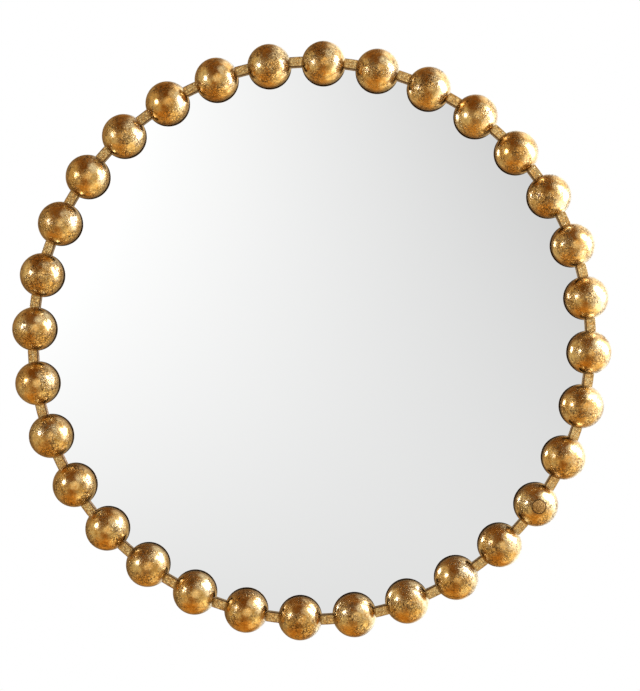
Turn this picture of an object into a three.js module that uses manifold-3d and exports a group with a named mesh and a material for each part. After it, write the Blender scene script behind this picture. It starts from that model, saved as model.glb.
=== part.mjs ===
// Round wall mirror framed by a ring of gilt half-balls on a flat gilded band.
// Millimetres. +X right, +Z up, the mirror faces -Y and hangs on a wall at y = 0.
// The origin is the point of the wall behind the middle of the ring.

import * as THREE from 'three';
import { mergeVertices } from 'three/addons/utils/BufferGeometryUtils.js';
import Module from 'manifold-3d';

// ---------------------------------------------------------------- driving dimensions

const seatGap = 0.3; // between two pieces that rest on each other

const ballCount = 32;
const ballDiameter = 67;
const linkLength = 16.2; // band seen between two balls, along the pitch circle
const pegRadius = 4;
const pegShy = 0.4; // a peg's end short of the band's back

const pluggedBall = 12; // counted clockwise from the top, seen from the front
const plugRadius = 10.5;
const plugLength = 12;

const bandWidth = 16;
const bandThickness = 5;
const bandOutset = 2.3; // middle of the band outside the pitch circle

const hoopWall = 2.5;
const lugLength = 16;
const lugWidth = 18;
const lugThickness = 2.5;

const tapeThickness = 0.8;
const tapeInset = 3; // tape's inner edge behind the band's inner edge
const tapeEdgeRoom = 1.5; // tape's outer edge inside the glass edge

const glassThickness = 4;
const glassEdgeRoom = 1; // glass edge to hoop

const boardThickness = 9;
const boardEdgeRoom = 1; // board edge to hoop

const buttonHalfWidth = 6;
const buttonThickness = 2;
const buttonGrip = 12; // how far a locked button reaches over the board

const screwShankRadius = 2;
const screwHeadRadius = 4;
const screwHeadHeight = 2.2;
const pivotScrewThrough = 2; // how far a pivot screw stands out of its lug

const bumperRadius = 10;
const bumperChamfer = 1.5;
const bumperInset = 50; // a bumper's middle inside the board's edge
const bumperTurns = [0.08, 0.42, 0.58, 0.92]; // of a turn, clockwise from the top
const wallRoom = 2; // between the eyes of the hanger straps and the wall

const hangerSpread = 200; // each strap's middle to the mirror's middle
const hangerHeight = 170; // the hinge line above the mirror's middle
const strapWidth = 16;
const strapThickness = 1.2;
const strapEnd = 9; // strap below its lower screw
const foldRoom = 4; // between the folded ring and a screw head
const boardSkin = 2; // board left in front of a hanger screw's tip

const ringWireRadius = 1.5;
const ringReach = 25; // from the hinge line to the middle of the ring's bow
const ringCornerRadius = 4;
const ringSideRoom = 1; // between a side of the strap and the ring's bend

const roundClearance = 0.3; // between a pin and its hole, on the radius

// ---------------------------------------------------------------- facets

const hoopSides = 3 * ballCount;
const ballSides = 20;
const ballRings = 5;
const pegSides = 8;
const screwSides = 12;
const bumperSides = 20;
const arcSteps = 6;
const wireSides = 8;
const wireSteps = 36;
const cutOver = 1; // cutters run past the faces they cut

// ---------------------------------------------------------------- worked-out sizes

const ballRadius = ballDiameter / 2;
const pitchRadius = (ballCount * (ballDiameter + linkLength)) / (2 * Math.PI);
const ballTurn = (2 * Math.PI) / ballCount;

const bandMiddle = pitchRadius + bandOutset;
const bandInner = bandMiddle - bandWidth / 2;
const bandOuter = bandMiddle + bandWidth / 2;
const hoopInner = bandOuter - hoopWall;
const glassRadius = hoopInner - glassEdgeRoom;
const boardRadius = hoopInner - boardEdgeRoom;
const tapeInner = bandInner + tapeInset;
const tapeOuter = glassRadius - tapeEdgeRoom;

const eyeInner = ringWireRadius + roundClearance;
const eyeOuter = eyeInner + strapThickness;
const bumperHeight = wallRoom + 2 * eyeOuter;

// planes from the wall to the front, each one the back of its piece
const boardBack = -(bumperHeight + seatGap);
const glassBack = boardBack - boardThickness - seatGap;
const tapeBack = glassBack - glassThickness - seatGap;
const bandBack = tapeBack - tapeThickness - seatGap;
const ballBack = bandBack - bandThickness - seatGap;
const hoopFront = bandBack + seatGap;

const lugTip = bandOuter + lugLength;
const pivotCircle = bandOuter + lugLength / 2;
const buttonReach = pivotCircle - boardRadius + buttonGrip; // from the pivot to the tip
const buttonBack = boardBack + seatGap + buttonThickness;
const lugBalls = [1, 3, 5, 7].map((eighth) => Math.round((eighth * ballCount) / 8));

const strapFront = boardBack + seatGap;
const hingeY = strapFront + eyeOuter;
const ringWidth = strapWidth + 2 * (ringSideRoom + ringCornerRadius); // between the middles of its legs
const upperScrewDrop = (eyeOuter + ringReach - ringWireRadius) / 2; // in the loop of the folded ring
const lowerScrewDrop = ringReach + ringWireRadius + foldRoom + screwHeadRadius;
const strapScrewDrops = [upperScrewDrop, lowerScrewDrop]; // below the hinge line
const strapLength = lowerScrewDrop + strapEnd; // from the hinge line down
const hangerScrewDepth = boardThickness - boardSkin;
const shankHole = screwShankRadius + roundClearance;

// ---------------------------------------------------------------- materials

function finish(color, roughness, metalness) {
  return new THREE.MeshStandardMaterial({ color, roughness, metalness });
}

const goldLeaf = finish(0xb98542, 0.35, 1);
const plugGold = finish(0xa97c3e, 0.5, 1);
const silveredGlass = finish(0xe8e8e8, 0.03, 1);
const blackIron = finish(0x2b2725, 0.6, 0.7);
const greyTape = finish(0x6f6f6d, 0.9, 0);
const fibreboard = finish(0x9a7650, 0.85, 0);
const zincSteel = finish(0xb9bcc0, 0.35, 1);
const blackRubber = finish(0x202020, 0.9, 0);

// ---------------------------------------------------------------- solids

const wasm = await Module();
wasm.setup();

// A closed solid for joining and cutting.
function solid(geometry) {
  const bare = geometry.clone();
  bare.deleteAttribute('normal');
  bare.deleteAttribute('uv');
  const merged = mergeVertices(bare, 1e-4);
  const corners = merged.index.array;
  const kept = [];
  for (let i = 0; i < corners.length; i += 3) {
    const [a, b, c] = [corners[i], corners[i + 1], corners[i + 2]];
    if (a !== b && b !== c && c !== a) kept.push(a, b, c);
  }
  return new wasm.Manifold(new wasm.Mesh({
    numProp: 3,
    vertProperties: new Float32Array(merged.attributes.position.array),
    triVerts: new Uint32Array(kept),
  }));
}

function geometryOf(manifold) {
  const mesh = manifold.getMesh();
  const geometry = new THREE.BufferGeometry();
  geometry.setAttribute('position', new THREE.BufferAttribute(new Float32Array(mesh.vertProperties), 3));
  geometry.setIndex(new THREE.BufferAttribute(new Uint32Array(mesh.triVerts), 1));
  geometry.computeVertexNormals();
  return geometry;
}

// A solid turned about the Y axis from points [radius, y] that run towards +Y on the outside.
function turned(points, sides) {
  return new THREE.LatheGeometry(points.map(([r, y]) => new THREE.Vector2(r, y)), sides);
}

function ringBetween(inner, outer, front, back, sides) {
  return turned([[inner, front], [outer, front], [outer, back], [inner, back], [inner, front]], sides);
}

function discBetween(radius, front, back, sides) {
  return turned([[0, front], [radius, front], [radius, back], [0, back]], sides);
}

// A plate drawn in X and Z, standing in Y from front to back.
function plate(outline, front, back) {
  const geometry = new THREE.ExtrudeGeometry(outline, {
    depth: back - front,
    bevelEnabled: false,
    curveSegments: arcSteps,
  });
  geometry.rotateX(Math.PI / 2);
  geometry.translate(0, back, 0);
  return geometry;
}

// ---------------------------------------------------------------- half-balls

// Local frame of everything on the ring: +Z points outwards, Y is depth.
const pegOffset = bandMiddle - pitchRadius;
const pegLength = seatGap + bandThickness - pegShy;

function domePoints(radius, rings) {
  const points = [];
  for (let i = 0; i <= rings; i += 1) {
    const angle = (i / rings) * (Math.PI / 2);
    points.push([radius * Math.sin(angle), -radius * Math.cos(angle)]);
  }
  return points;
}

function halfBall() {
  const dome = solid(turned([...domePoints(ballRadius, ballRings), [0, 0]], ballSides));
  const peg = solid(discBetween(pegRadius, -cutOver, pegLength, pegSides).translate(0, 0, pegOffset));
  return dome.add(peg);
}

const plugFace = -Math.sqrt(ballRadius ** 2 - plugRadius ** 2); // flush with the ball at the plug's edge

function plugHole() {
  const radius = plugRadius + seatGap;
  return solid(discBetween(radius, -ballRadius - cutOver, plugFace + plugLength + seatGap, ballSides));
}

// ---------------------------------------------------------------- rings, glass and board

function frontBand() {
  let band = solid(ringBetween(bandInner, bandOuter, -bandThickness, 0, hoopSides));
  for (let i = 0; i < ballCount; i += 1) {
    const hole = discBetween(pegRadius + roundClearance, -bandThickness - cutOver, cutOver, pegSides);
    hole.translate(0, 0, bandMiddle).rotateY(i * ballTurn);
    band = band.subtract(solid(hole));
  }
  return geometryOf(band);
}

function rimHoop() {
  let hoop = solid(ringBetween(hoopInner, bandOuter, hoopFront, boardBack, hoopSides));
  for (const ball of lugBalls) {
    const root = bandOuter - hoopWall / 2;
    const lug = new THREE.BoxGeometry(lugWidth, lugThickness, lugTip - root);
    lug.translate(0, boardBack - lugThickness / 2, (root + lugTip) / 2).rotateY(ball * ballTurn);
    const hole = discBetween(shankHole, boardBack - lugThickness - cutOver, boardBack + cutOver, screwSides);
    hole.translate(0, 0, pivotCircle).rotateY(ball * ballTurn);
    hoop = hoop.add(solid(lug)).subtract(solid(hole));
  }
  return geometryOf(hoop);
}

const strapScrewPlaces = [-1, 1].flatMap((side) => strapScrewDrops.map((drop) => ({
  x: side * hangerSpread,
  z: hangerHeight - drop,
})));

function backingBoard() {
  let board = solid(discBetween(boardRadius, boardBack - boardThickness, boardBack, hoopSides));
  for (const { x, z } of strapScrewPlaces) {
    const depth = hangerScrewDepth + seatGap;
    const hole = discBetween(shankHole, boardBack - depth, boardBack + cutOver, screwSides);
    board = board.subtract(solid(hole.translate(x, 0, z)));
  }
  return geometryOf(board);
}

// ---------------------------------------------------------------- back hardware

// Head towards the wall, shank towards the front; y = 0 is the seat of the head.
function screw(shankLength) {
  const tipRadius = screwShankRadius / 2;
  return turned([
    [0, -shankLength],
    [tipRadius, -shankLength],
    [screwShankRadius, -shankLength + screwShankRadius],
    [screwShankRadius, 0],
    [screwHeadRadius, 0],
    [screwHeadRadius, screwHeadHeight / 2],
    [screwHeadRadius - screwHeadHeight / 2, screwHeadHeight],
    [0, screwHeadHeight],
  ], screwSides);
}

// Locked, the button points inwards, which is local -Z from the pivot.
function turnButton() {
  const outline = new THREE.Shape();
  const tipMiddle = buttonReach - buttonHalfWidth;
  outline.absarc(0, 0, buttonHalfWidth, 0, Math.PI, false);
  outline.absarc(0, -tipMiddle, buttonHalfWidth, Math.PI, 2 * Math.PI, false);
  outline.closePath();
  const hole = new THREE.Path();
  hole.absarc(0, 0, shankHole, 0, 2 * Math.PI, true);
  outline.holes.push(hole);
  return plate(outline, buttonBack - buttonThickness, buttonBack);
}

// The strap's section lies in Y and Z with the hinge line at its origin; it is extruded along X.
function hangerStrap() {
  const section = new THREE.Shape();
  const plateOut = -eyeOuter + strapThickness;
  const joinZ = -Math.sqrt(eyeOuter ** 2 - plateOut ** 2);
  section.moveTo(-eyeOuter, -strapLength);
  section.lineTo(plateOut, -strapLength);
  section.lineTo(plateOut, joinZ);
  section.absarc(0, 0, eyeOuter, Math.atan2(joinZ, plateOut), Math.PI, false);
  section.closePath();
  const bore = new THREE.Path();
  bore.absarc(0, 0, eyeInner, 0, 2 * Math.PI, true);
  section.holes.push(bore);
  const geometry = new THREE.ExtrudeGeometry(section, {
    depth: strapWidth,
    bevelEnabled: false,
    curveSegments: 2 * arcSteps,
  });
  geometry.translate(0, 0, -strapWidth / 2);
  // the section's first axis becomes Y, its second Z, and the extrusion runs along X
  geometry.applyMatrix4(new THREE.Matrix4().set(0, 0, 1, 0, 1, 0, 0, 0, 0, 1, 0, 0, 0, 0, 0, 1));
  let strap = solid(geometry);
  for (const drop of strapScrewDrops) {
    const hole = discBetween(shankHole, -eyeOuter - cutOver, plateOut + cutOver, screwSides);
    strap = strap.subtract(solid(hole.translate(0, 0, -drop)));
  }
  return geometryOf(strap);
}

// A curve drawn in X and Z, standing in the plane y = 0.
class UprightCurve extends THREE.Curve {
  constructor(outline) {
    super();
    this.outline = outline;
  }

  getPoint(t, target = new THREE.Vector3()) {
    const point = this.outline.getPoint(t);
    return target.set(point.x, 0, point.y);
  }
}

// A D of round wire: its straight bar lies on the hinge line and its bow above it.
function hangerRing() {
  const leg = ringWidth / 2;
  const corner = ringCornerRadius;
  const outline = new THREE.Path();
  outline.moveTo(-leg + corner, 0);
  outline.absarc(leg - corner, corner, corner, -Math.PI / 2, 0, false);
  outline.absarc(0, ringReach - leg, leg, 0, Math.PI, false);
  outline.absarc(-leg + corner, corner, corner, Math.PI, 1.5 * Math.PI, false);
  return new THREE.TubeGeometry(new UprightCurve(outline), wireSteps, ringWireRadius, wireSides, true);
}

function bumper() {
  return turned([
    [0, -bumperHeight],
    [bumperRadius, -bumperHeight],
    [bumperRadius, -bumperChamfer],
    [bumperRadius - bumperChamfer, 0],
    [0, 0],
  ], bumperSides);
}

// ---------------------------------------------------------------- assembly

const mirror = new THREE.Group();
const tapeFront = tapeBack - tapeThickness;
const glassFront = glassBack - glassThickness;

function add(name, geometry, material, x = 0, y = 0, z = 0, turn = 0) {
  const mesh = new THREE.Mesh(geometry, material);
  mesh.name = name;
  mesh.position.set(x, y, z);
  mesh.rotation.y = turn;
  mirror.add(mesh);
}

// On the ring, at an angle clockwise from the top as seen from the front.
function addOnRing(name, geometry, material, radius, y, angle) {
  add(name, geometry, material, radius * Math.sin(angle), y, radius * Math.cos(angle), angle);
}

add('front_band', frontBand().translate(0, bandBack, 0), goldLeaf);
add('rim_hoop', rimHoop(), blackIron);
add('glazing_tape', ringBetween(tapeInner, tapeOuter, tapeFront, tapeBack, hoopSides), greyTape);
add('mirror_glass', discBetween(glassRadius, glassFront, glassBack, hoopSides), silveredGlass);
add('backing_board', backingBoard(), fibreboard);

const ball = halfBall();
for (let i = 0; i < ballCount; i += 1) {
  const plugged = i + 1 === pluggedBall;
  const shape = geometryOf(plugged ? ball.subtract(plugHole()) : ball);
  const name = `ball_${String(i + 1).padStart(2, '0')}`;
  addOnRing(name, shape, goldLeaf, pitchRadius, ballBack, i * ballTurn);
  if (plugged) {
    const plug = discBetween(plugRadius, plugFace, plugFace + plugLength, ballSides);
    addOnRing(`${name}_plug`, plug, plugGold, pitchRadius, ballBack, i * ballTurn);
  }
}

lugBalls.forEach((lugBall, i) => {
  const angle = lugBall * ballTurn;
  const seat = buttonBack + seatGap;
  const shank = seat - (boardBack - lugThickness - pivotScrewThrough);
  addOnRing(`turn_button_${i + 1}`, turnButton(), zincSteel, pivotCircle, 0, angle);
  addOnRing(`turn_button_screw_${i + 1}`, screw(shank), zincSteel, pivotCircle, seat, angle);
});

for (const [name, side] of [['left', -1], ['right', 1]]) {
  const x = side * hangerSpread;
  const seat = strapFront + strapThickness + seatGap;
  const shank = seat - boardBack + hangerScrewDepth;
  add(`hanger_strap_${name}`, hangerStrap(), zincSteel, x, hingeY, hangerHeight);
  add(`hanger_ring_${name}`, hangerRing(), zincSteel, x, hingeY, hangerHeight);
  strapScrewDrops.forEach((drop, i) => {
    add(`hanger_screw_${name}_${i + 1}`, screw(shank), zincSteel, x, seat, hangerHeight - drop);
  });
}

bumperTurns.forEach((turn, i) => {
  addOnRing(`bumper_${i + 1}`, bumper(), blackRubber, boardRadius - bumperInset, 0, turn * 2 * Math.PI);
});

export default mirror;
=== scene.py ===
import math

import bmesh
import bpy
from mathutils import Matrix, Vector


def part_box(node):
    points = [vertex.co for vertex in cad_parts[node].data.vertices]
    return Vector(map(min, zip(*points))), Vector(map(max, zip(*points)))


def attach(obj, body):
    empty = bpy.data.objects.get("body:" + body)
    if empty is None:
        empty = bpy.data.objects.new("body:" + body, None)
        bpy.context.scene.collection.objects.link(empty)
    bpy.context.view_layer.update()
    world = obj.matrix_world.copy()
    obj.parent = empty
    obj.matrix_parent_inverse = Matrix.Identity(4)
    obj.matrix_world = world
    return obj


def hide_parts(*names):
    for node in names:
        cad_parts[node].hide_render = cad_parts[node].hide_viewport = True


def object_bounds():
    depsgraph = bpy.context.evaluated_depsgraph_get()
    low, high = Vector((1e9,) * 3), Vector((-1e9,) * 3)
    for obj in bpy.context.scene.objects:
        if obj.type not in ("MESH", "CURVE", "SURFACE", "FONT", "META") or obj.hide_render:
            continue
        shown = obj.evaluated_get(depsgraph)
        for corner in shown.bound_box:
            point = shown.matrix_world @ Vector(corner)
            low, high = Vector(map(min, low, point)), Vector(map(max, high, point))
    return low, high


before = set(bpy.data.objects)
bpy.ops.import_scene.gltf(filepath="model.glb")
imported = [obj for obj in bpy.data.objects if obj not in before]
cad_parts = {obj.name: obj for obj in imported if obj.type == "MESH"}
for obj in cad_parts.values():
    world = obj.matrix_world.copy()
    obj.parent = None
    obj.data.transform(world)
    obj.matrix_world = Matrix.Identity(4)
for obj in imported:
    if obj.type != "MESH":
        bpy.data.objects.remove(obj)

cad_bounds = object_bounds()

# ---------------------------------------------------------------- sizes read from the frame, in metres

ball_names = sorted(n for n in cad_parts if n.startswith("ball_") and n.count("_") == 1)
ball_turn = 2 * math.pi / len(ball_names)
ball_low, ball_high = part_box("ball_01")
ball_radius = (ball_high.x - ball_low.x) / 2
pitch_radius = (ball_high.z + ball_low.z) / 2
ball_back = ball_low.y + ball_radius  # plane of the flat backs

plug_name = next(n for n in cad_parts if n.endswith("_plug"))
plug_low, plug_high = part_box(plug_name)
plug_middle = (plug_low + plug_high) / 2

band_low, band_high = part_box("front_band")
hoop_low, hoop_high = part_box("rim_hoop")
glass_low, glass_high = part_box("mirror_glass")
board_low, board_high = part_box("backing_board")

# ---------------------------------------------------------------- sizes of the finish and small forms

band_width = 0.016
plug_radius = 0.0105
fit_gap = 0.0003  # between two pieces that rest on each other
hoop_wall = 0.0025
lug_length = 0.016
lug_width = 0.018
lug_corner = 0.004
lug_angles = [(2 * i + 1) * math.pi / 4 for i in range(4)]
shank_radius = 0.002
head_radius = 0.004
head_height = 0.0022
head_dome = 0.0052  # radius of the screw head's round top
recess_half_width = 0.0006
recess_half_length = 0.0022
recess_depth = 0.0013
recess_taper = 0.45  # length of the recess at its floor, as a share
button_half_width = 0.006
strap_thickness = 0.0012
strap_corner = 0.003
eye_radius = 0.003
wire_radius = 0.0015
wire_bend = 0.004  # radius of the ring's two corners
roll_angle = math.radians(298)  # how far a strap is rolled round its wire
foot_corner = 0.002
dimple_radius = 0.0045
dimple_floor = 0.0038
dimple_depth = 0.0006

# ---------------------------------------------------------------- the photograph's view

photo_size = (640, 691)
ring_centre_px = (311.9, 340.65)
ring_radius_px = 277.8
ring_roll = math.radians(2.42)  # the ring in the photograph is turned clockwise
camera_distance = 2.5  # from the plane of the flat backs
sensor_size = 0.036


def make_camera():
    metres_per_px = pitch_radius / ring_radius_px
    right = Vector((math.cos(ring_roll), 0, math.sin(ring_roll)))
    up = Vector((-math.sin(ring_roll), 0, math.cos(ring_roll)))
    aside = (photo_size[0] / 2 - ring_centre_px[0]) * metres_per_px
    below = (photo_size[1] / 2 - ring_centre_px[1]) * metres_per_px
    camera = bpy.data.objects.new("camera", bpy.data.cameras.new("camera"))
    bpy.context.scene.collection.objects.link(camera)
    turned_to = Matrix((right, up, right.cross(up))).transposed().to_4x4()
    place = right * aside - up * below + Vector((0, ball_back - camera_distance, 0))
    camera.matrix_world = Matrix.Translation(place) @ turned_to
    camera.data.sensor_width = sensor_size * 1000
    camera.data.lens = 1000 * sensor_size * camera_distance / (photo_size[1] * metres_per_px)
    camera.data.dof.use_dof = False
    bpy.context.scene.camera = camera


# ---------------------------------------------------------------- node helpers


class Nodes:
    """Short hand for a node tree: adds a node, sets its inputs, and links what is a socket."""

    def __init__(self, tree):
        self.tree = tree

    def add(self, kind, *inputs, **settings):
        node = self.tree.nodes.new(kind)
        named = settings.pop("inputs", {})
        for key, value in settings.items():
            setattr(node, key, value)
        for key, value in list(enumerate(inputs)) + list(named.items()):
            self.feed(node.inputs[key], value)
        return node

    def feed(self, socket, value):
        if isinstance(value, bpy.types.NodeSocket):
            self.tree.links.new(value, socket)
        elif value is not None:
            socket.default_value = value

    def math(self, operation, *inputs):
        return self.add("ShaderNodeMath", *inputs, operation=operation).outputs[0]

    def vector(self, operation, *inputs, out=0):
        return self.add("ShaderNodeVectorMath", *inputs, operation=operation).outputs[out]

    def xyz(self, x, y, z):
        return self.add("ShaderNodeCombineXYZ", x, y, z).outputs[0]

    def from_line(self, place, middle=(0.0, 0.0, 0.0)):
        """How far a place is from the line along Y through the middle."""
        aside = self.vector("MULTIPLY", self.vector("SUBTRACT", place, middle), (1.0, 0.0, 1.0))
        return self.vector("LENGTH", aside, out=1)

    def between(self, value, low, high, out_low=0.0, out_high=1.0):
        """value from low to high gives out_low to out_high, smoothly and held beyond the ends."""
        node = self.add("ShaderNodeMapRange", value, low, high, out_low, out_high)
        node.interpolation_type = "SMOOTHSTEP"
        return node.outputs[0]

    def mix(self, factor, a, b, blend="MIX"):
        node = self.add("ShaderNodeMix", data_type="RGBA", blend_type=blend)
        for socket, value in zip((node.inputs[0], node.inputs[6], node.inputs[7]), (factor, a, b)):
            self.feed(socket, value)
        return node.outputs[2]

    def noise(self, where, scale, detail=2.0, roughness=0.5):
        return self.add("ShaderNodeTexNoise", inputs={"Vector": where, "Scale": scale, "Detail": detail,
                                                      "Roughness": roughness}).outputs[0]

    def shaken(self, where, scale, amount):
        """where, moved about by a noise of that scale."""
        node = self.add("ShaderNodeTexNoise", inputs={"Vector": where, "Scale": scale, "Detail": 2.0})
        offset = self.vector("SUBTRACT", node.outputs[1], (0.5, 0.5, 0.5))
        return self.vector("ADD", where, self.vector("MULTIPLY", offset, (amount, amount, amount)))

    def cracks(self, where, scale, width):
        """1 on the thin lines between irregular cells, 0 inside them."""
        node = self.add("ShaderNodeTexVoronoi", feature="DISTANCE_TO_EDGE",
                        inputs={"Vector": where, "Scale": scale})
        return self.between(node.outputs[0], 0.0, width, 1.0, 0.0)

    def bump(self, height, strength, distance):
        return self.add("ShaderNodeBump", inputs={"Height": height, "Strength": strength,
                                                  "Distance": distance}).outputs[0]


def new_material(name, metallic=0.0, roughness=0.5, ior=1.5):
    """A material with its shader, the shader's constants, and the object's coordinates."""
    material = bpy.data.materials.new(name)
    material.use_nodes = True
    shader = next(n for n in material.node_tree.nodes if n.type == "BSDF_PRINCIPLED")
    shader.inputs["Metallic"].default_value = metallic
    shader.inputs["Roughness"].default_value = roughness
    shader.inputs["IOR"].default_value = ior
    nodes = Nodes(material.node_tree)
    place = nodes.add("ShaderNodeTexCoord").outputs["Object"]
    return material, nodes, shader, place


def set_coat(shader, weight, roughness, ior):
    shader.inputs["Coat Weight"].default_value = weight
    shader.inputs["Coat Roughness"].default_value = roughness
    shader.inputs["Coat IOR"].default_value = ior


# ---------------------------------------------------------------- materials

# dark umber, for worn leaf and for painted shade on the gilt
umber = (0.06, 0.02, 0.004, 1)


def gilt_ball_material(name, groove_shade_at=None):
    """Rubbed gold leaf: warm and pale patches, crackle and dark specks, with painted shade at the back, on
    the inner side and round the plug; partly dark glazing at the back.
    """
    material, nodes, shader, place = new_material(name, metallic=1.0)
    set_coat(shader, 0.9, 0.1, 1.8)
    cloud = nodes.noise(place, 32, 4, 0.6)
    shaken = nodes.shaken(place, 190, 0.005)
    leaf = nodes.noise(shaken, 360, 2, 0.6)
    cloud = nodes.math("ADD", nodes.math("MULTIPLY", cloud, 0.6), nodes.math("MULTIPLY", leaf, 0.4))
    tone = nodes.mix(nodes.between(cloud, 0.42, 0.58), (0.8, 0.5, 0.15, 1), (0.98, 0.8, 0.44, 1))
    patches = nodes.between(nodes.noise(place, 40, 3, 0.6), 0.42, 0.58, 0.25, 1.0)
    crackle = nodes.cracks(shaken, 210, 0.17)
    specks = nodes.between(nodes.noise(shaken, 390, 3, 0.7), 0.53, 0.59)
    worn = nodes.math("MAXIMUM", nodes.math("MULTIPLY", crackle, 0.85), specks)
    worn = nodes.math("MULTIPLY", nodes.math("MULTIPLY", worn, patches), 0.92)
    from_back = nodes.math("SUBTRACT", ball_back, nodes.add("ShaderNodeSeparateXYZ", place).outputs[1])
    from_back = nodes.math("ADD", from_back, nodes.math("MULTIPLY", nodes.noise(place, 120, 3), 0.006))
    # painted shade: darker towards the back of each ball, where it meets the band; partly dark glazing,
    # mostly painted shade
    glazing_and_shade = nodes.between(from_back, 0.005, 0.011, 0.6, 0.0)
    # painted shade: a dark crescent on the inner side of each ball near its back, for the shade there and
    # its reflection in the glass
    reach = nodes.from_line(place)
    inwards = nodes.between(reach, pitch_radius - 0.65 * ball_radius, pitch_radius, 1.0, 0.0)
    shade = nodes.math("MULTIPLY", nodes.between(from_back, 0.006, 0.014, 0.8, 0.0), inwards)
    # worn leaf together with the painted shade
    wear_and_shade = nodes.math("MAXIMUM", worn, shade)
    if groove_shade_at:
        # painted shade: a dark ring on the ball round the plug, for the shade in the gap about it
        groove_shade = nodes.between(nodes.from_line(place, groove_shade_at), plug_radius + 0.0004,
                               plug_radius + 0.0018, 0.7, 0.0)
        wear_and_shade = nodes.math("MAXIMUM", wear_and_shade, groove_shade)
    nodes.feed(shader.inputs["Base Color"], nodes.mix(nodes.math("MAXIMUM", wear_and_shade, glazing_and_shade), tone, umber))
    gloss = nodes.math("ADD", nodes.between(leaf, 0.3, 0.7, 0.11, 0.17), nodes.math("MULTIPLY", wear_and_shade, 0.45))
    nodes.feed(shader.inputs["Roughness"], gloss)
    nodes.feed(shader.inputs["Coat Weight"], nodes.math("MULTIPLY", nodes.math("SUBTRACT", 1.0, wear_and_shade), 0.9))
    relief = nodes.math("SUBTRACT", nodes.math("MULTIPLY", leaf, patches), nodes.math("MULTIPLY", worn, 0.3))
    nodes.feed(shader.inputs["Normal"], nodes.bump(relief, 1.0, 0.0003))
    nodes.feed(shader.inputs["Coat Normal"], nodes.bump(relief, 0.35, 0.0003))
    return material


def gilt_band_material():
    """Coarse crackled leaf on the flat bar, with painted shade along both its edges, partly dark glazing."""
    material, nodes, shader, place = new_material("gilt_band", metallic=1.0)
    set_coat(shader, 0.5, 0.12, 1.5)
    shaken = nodes.shaken(place, 160, 0.005)
    grains = nodes.noise(shaken, 300, 2, 0.6)
    tone = nodes.mix(nodes.between(grains, 0.42, 0.58), (0.86, 0.63, 0.31, 1), (1.0, 0.92, 0.64, 1))
    crackle = nodes.math("MULTIPLY", nodes.cracks(shaken, 260, 0.2), 0.8)
    pits = nodes.between(nodes.noise(shaken, 330, 3, 0.7), 0.55, 0.62)
    dark = nodes.math("MULTIPLY", nodes.math("MAXIMUM", crackle, pits), 0.72)
    reach = nodes.from_line(place)
    outer, inner = band_high.x, band_high.x - band_width
    # painted shade: darker along both edges of the band, most at the inner edge beside the glass
    dark = nodes.math("MAXIMUM", dark, nodes.between(reach, outer - 0.0024, outer - 0.0011, 0.0, 0.5))
    dark = nodes.math("MAXIMUM", dark, nodes.between(reach, inner + 0.0014, inner + 0.0032, 0.95, 0.0))
    nodes.feed(shader.inputs["Base Color"], nodes.mix(dark, tone, umber))
    nodes.feed(shader.inputs["Roughness"], nodes.between(grains, 0.3, 0.7, 0.2, 0.12))
    relief = nodes.math("SUBTRACT", grains, nodes.math("MULTIPLY", dark, 0.3))
    nodes.feed(shader.inputs["Normal"], nodes.bump(relief, 1.0, 0.0004))
    return material


def gilt_plug_material():
    """Matt leaf on the plug, darker towards its edge: partly dark glazing, partly painted shade where it
    meets the ball.
    """
    material, nodes, shader, place = new_material("gilt_plug", metallic=1.0)
    set_coat(shader, 0.4, 0.25, 1.5)
    grains = nodes.noise(nodes.shaken(place, 190, 0.004), 420, 4, 0.65)
    tone = nodes.mix(nodes.between(grains, 0.38, 0.62), (0.26, 0.15, 0.045, 1), (0.68, 0.47, 0.2, 1))
    # painted shade: darker towards the plug's edge, where it meets the ball
    edge = nodes.between(nodes.from_line(place, plug_middle), plug_radius - 0.0012, plug_radius - 0.0002)
    nodes.feed(shader.inputs["Base Color"], nodes.mix(edge, tone, umber))
    nodes.feed(shader.inputs["Roughness"], nodes.between(grains, 0.3, 0.7, 0.55, 0.38))
    nodes.feed(shader.inputs["Normal"], nodes.bump(grains, 0.8, 0.0012))
    return material


def ground_and_shade_material():
    """Near-black on the flat backs of the balls: a clay ground, darkened as painted shade for the shade
    there.
    """
    material, nodes, shader, place = new_material("dark_ground", roughness=0.9)
    shader.inputs["Specular IOR Level"].default_value = 0.15
    cloud = nodes.noise(place, 120, 4, 0.6)
    # painted shade: the near-black tone stands for the shade on the backs
    tone = nodes.mix(nodes.between(cloud, 0.4, 0.7), (0.008, 0.004, 0.002, 1), (0.026, 0.012, 0.006, 1))
    nodes.feed(shader.inputs["Base Color"], tone)
    nodes.feed(shader.inputs["Normal"], nodes.bump(cloud, 0.3, 0.0006))
    return material


def mirror_material():
    """Silvered glass, very slightly cool, with a tint that drifts over the sheet."""
    material, nodes, shader, place = new_material("mirror_face", metallic=1.0, roughness=0.0)
    drift = nodes.noise(place, 3.0, 1)
    tone = nodes.mix(drift, (0.965, 0.97, 0.967, 1), (0.975, 0.98, 0.977, 1))
    nodes.feed(shader.inputs["Base Color"], tone)
    return material


def glass_edge_material():
    """Green-grey edge of the glass."""
    material, nodes, shader, place = new_material("glass_edge", roughness=0.25, ior=1.52)
    cloud = nodes.noise(place, 200, 3)
    nodes.feed(shader.inputs["Base Color"], nodes.mix(cloud, (0.06, 0.16, 0.12, 1), (0.16, 0.32, 0.26, 1)))
    nodes.feed(shader.inputs["Normal"], nodes.bump(cloud, 0.2, 0.0003))
    return material


def mirror_paint_material():
    """Grey paint that seals the silvering, on the back of the glass."""
    material, nodes, shader, place = new_material("mirror_paint", roughness=0.5)
    cloud = nodes.noise(place, 60, 4)
    nodes.feed(shader.inputs["Base Color"], nodes.mix(cloud, (0.2, 0.21, 0.22, 1), (0.27, 0.28, 0.29, 1)))
    nodes.feed(shader.inputs["Normal"], nodes.bump(nodes.noise(place, 900, 2), 0.15, 0.0003))
    return material


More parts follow.
